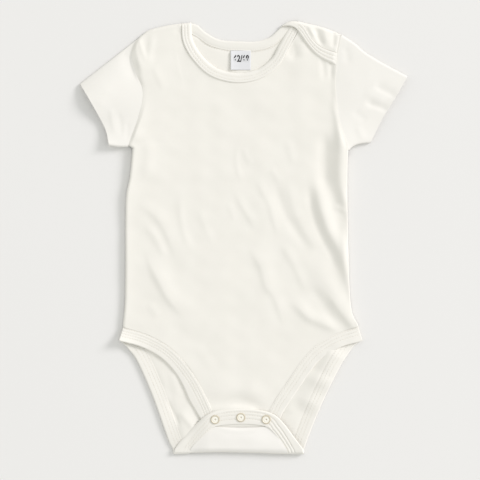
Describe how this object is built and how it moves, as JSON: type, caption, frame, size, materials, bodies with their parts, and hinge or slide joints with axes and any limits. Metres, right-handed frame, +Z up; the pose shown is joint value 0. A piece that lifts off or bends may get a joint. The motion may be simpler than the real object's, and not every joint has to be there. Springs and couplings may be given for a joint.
{
  "type": "baby onesie",
  "caption": "Short-sleeved baby bodysuit in cotton jersey, lying flat with its crotch snaps fastened, rib-bound neck and leg openings and a lapped shoulder",
  "frame": {"origin": "centre of the garment's outline on the surface that it lies on", "axes": "+Z up from the surface, +Y from the crotch fold to the neck, +X to the viewer's right as seen from above"},
  "size_m": [0.318, 0.4198, 0.008],
  "materials": {
    "ivory_cotton": "fine single-jersey cotton knit, matt, warm ivory",
    "rib_binding": "folded cotton binding with rows of cover stitch, matt, warm ivory",
    "white_label": "smooth woven satin, cool white",
    "snap_enamel": "beige lacquered press-stud ring, slightly glossy"
  },
  "bodies": {
    "root": {"back_panel": "ivory_cotton", "front_panel": "ivory_cotton", "sleeve_left": "ivory_cotton", "sleeve_right": "ivory_cotton", "neck_binding_front": "rib_binding", "neck_binding_back": "rib_binding", "shoulder_lap": "ivory_cotton", "lap_binding": "rib_binding", "leg_binding_front_left": "rib_binding", "leg_binding_front_right": "rib_binding", "leg_binding_back_left": "rib_binding", "leg_binding_back_right": "rib_binding", "snap_placket": "rib_binding", "snap_left": "snap_enamel", "snap_middle": "snap_enamel", "snap_right": "snap_enamel", "neck_label": "white_label"}
  },
  "joints": []
}
